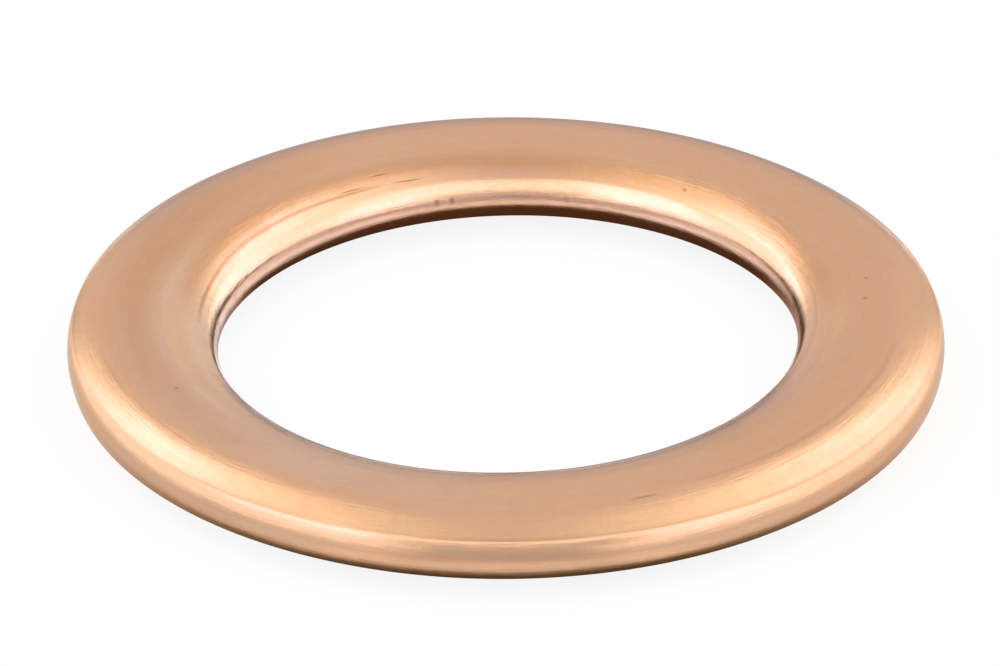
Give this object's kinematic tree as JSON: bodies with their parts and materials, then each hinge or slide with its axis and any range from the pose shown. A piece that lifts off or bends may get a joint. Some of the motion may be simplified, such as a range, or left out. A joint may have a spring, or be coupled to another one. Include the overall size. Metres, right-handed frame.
{
  "type": "drain plug washer",
  "caption": "Flat copper sealing ring with a round bore, pressed flat faces, rounded shoulders and a creased, bulged outer edge.",
  "frame": {"origin": "centre of the lower face, on the axis of the bore", "axes": "+Z along the bore's axis, from the lower face to the upper face; X and Y lie in the lower face, and the ring is round about Z"},
  "size_m": [0.0214, 0.0214, 0.002],
  "materials": {
    "copper": "satin pressed copper, faintly brushed and tarnished"
  },
  "bodies": {
    "root": {"ring": "copper"}
  },
  "joints": []
}
